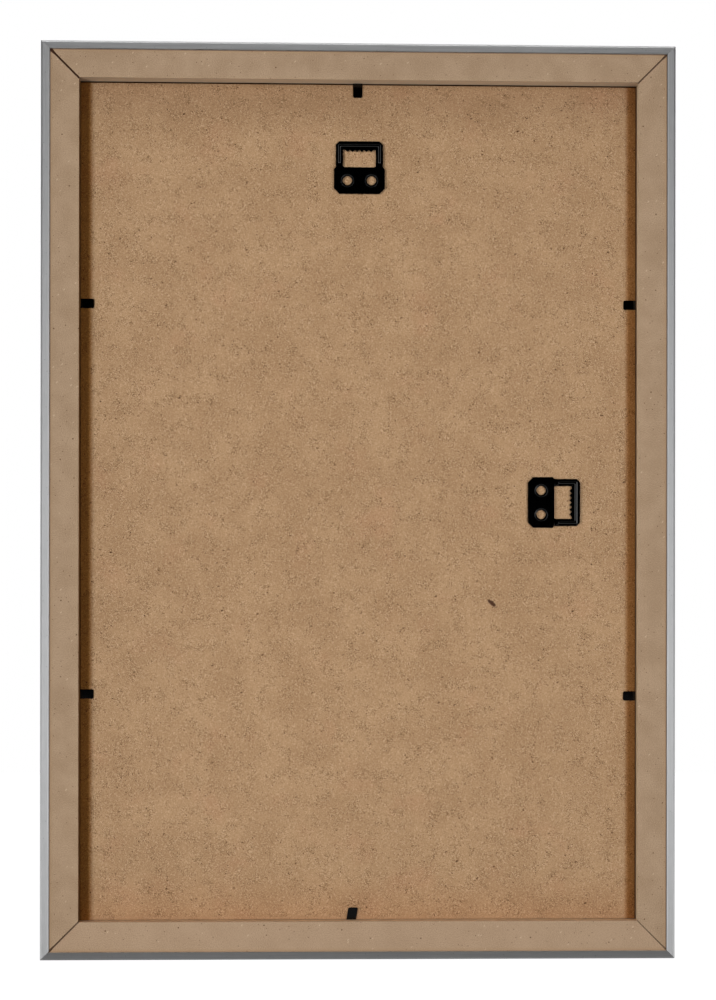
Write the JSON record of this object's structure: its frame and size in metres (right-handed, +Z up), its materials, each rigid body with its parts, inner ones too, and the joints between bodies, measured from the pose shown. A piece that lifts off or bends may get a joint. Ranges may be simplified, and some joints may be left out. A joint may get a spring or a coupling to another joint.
{
  "type": "picture frame",
  "caption": "Upright MDF picture frame with silver foil-wrapped mitred mouldings, glazing, a recessed back panel, bending retaining tabs and toothed hangers.",
  "frame": {"origin": "the nail point: the middle of the upright hanger's toothed edge, on the plane of the mouldings' back face", "axes": "+Z up along the long side, +Y out of the back towards the wall, -Y towards the viewer of the picture, +X to the left as seen from behind"},
  "size_m": [0.3438, 0.018, 0.4958],
  "materials": {
    "mdf": "matte",
    "silver_foil": "satin",
    "panel_board": "matte",
    "insert_card": "matte",
    "clear_glass": "polished",
    "black_steel": "gloss",
    "nail_steel": "satin"
  },
  "bodies": {
    "frame": {"top_rail": "mdf", "bottom_rail": "mdf", "left_stile": "mdf", "right_stile": "mdf", "top_rail_foil": "silver_foil", "bottom_rail_foil": "silver_foil", "left_stile_foil": "silver_foil", "right_stile_foil": "silver_foil", "v_nail_top_left_inner": "nail_steel", "v_nail_top_left_outer": "nail_steel", "v_nail_top_right_inner": "nail_steel", "v_nail_top_right_outer": "nail_steel", "v_nail_bottom_left_inner": "nail_steel", "v_nail_bottom_left_outer": "nail_steel", "v_nail_bottom_right_inner": "nail_steel", "v_nail_bottom_right_outer": "nail_steel", "top_tab_shank": "black_steel", "bottom_tab_shank": "black_steel", "left_upper_tab_shank": "black_steel", "left_lower_tab_shank": "black_steel", "right_upper_tab_shank": "black_steel", "right_lower_tab_shank": "black_steel"},
    "back": {"back_panel": "panel_board", "portrait_hanger_plate": "black_steel", "landscape_hanger_plate": "black_steel"},
    "portrait_bail": {"portrait_hanger_bail": "black_steel"},
    "landscape_bail": {"landscape_hanger_bail": "black_steel"},
    "insert": {"insert_sheet": "insert_card"},
    "glazing": {"glazing_pane": "clear_glass"},
    "top_tongue": {"top_tab": "black_steel"},
    "bottom_tongue": {"bottom_tab": "black_steel"},
    "left_upper_tongue": {"left_upper_tab": "black_steel"},
    "left_lower_tongue": {"left_lower_tab": "black_steel"},
    "right_upper_tongue": {"right_upper_tab": "black_steel"},
    "right_lower_tongue": {"right_lower_tab": "black_steel"}
  },
  "joints": [
    {"name": "back_lift", "type": "slide", "parent": "frame", "child": "back", "axis": [0, 1, 0], "range_m": [0, 0.075], "deforming": ["top_tab", "bottom_tab", "left_upper_tab", "left_lower_tab", "right_upper_tab", "right_lower_tab"]},
    {"name": "insert_lift", "type": "slide", "parent": "frame", "child": "insert", "axis": [0, 1, 0], "range_m": [0, 0.05]},
    {"name": "glazing_lift", "type": "slide", "parent": "frame", "child": "glazing", "axis": [0, 1, 0], "range_m": [0, 0.025]},
    {"name": "portrait_bail_bend", "type": "hinge", "parent": "back", "child": "portrait_bail", "pos_m": [0, -0.0066, -0.00845], "axis": [-1, 0, 0], "range_deg": [0, 60]},
    {"name": "landscape_bail_bend", "type": "hinge", "parent": "back", "child": "landscape_bail", "pos_m": [-0.10755, -0.0066, -0.1913], "axis": [0, 0, -1], "range_deg": [0, 60]},
    {"name": "top_tab_bend", "type": "hinge", "parent": "frame", "child": "top_tongue", "pos_m": [0.001, -0.007, 0.0357], "axis": [1, 0, 0], "range_deg": [0, 90]},
    {"name": "bottom_tab_bend", "type": "hinge", "parent": "frame", "child": "bottom_tongue", "pos_m": [0.004, -0.007, -0.4183], "axis": [-1, 0, 0], "range_deg": [0, 90]},
    {"name": "left_upper_tab_bend", "type": "hinge", "parent": "frame", "child": "left_upper_tongue", "pos_m": [0.151, -0.007, -0.0843], "axis": [0, 0, -1], "range_deg": [0, 90]},
    {"name": "left_lower_tab_bend", "type": "hinge", "parent": "frame", "child": "left_lower_tongue", "pos_m": [0.151, -0.007, -0.2958], "axis": [0, 0, -1], "range_deg": [0, 90]},
    {"name": "right_upper_tab_bend", "type": "hinge", "parent": "frame", "child": "right_upper_tongue", "pos_m": [-0.151, -0.007, -0.0835], "axis": [0, 0, 1], "range_deg": [0, 90]},
    {"name": "right_lower_tab_bend", "type": "hinge", "parent": "frame", "child": "right_lower_tongue", "pos_m": [-0.151, -0.007, -0.2967], "axis": [0, 0, 1], "range_deg": [0, 90]}
  ],
  "couplings": [
    {"joint": "insert_lift", "follows": "back_lift", "ratio": 0.6666},
    {"joint": "glazing_lift", "follows": "back_lift", "ratio": 0.3333}
  ]
}
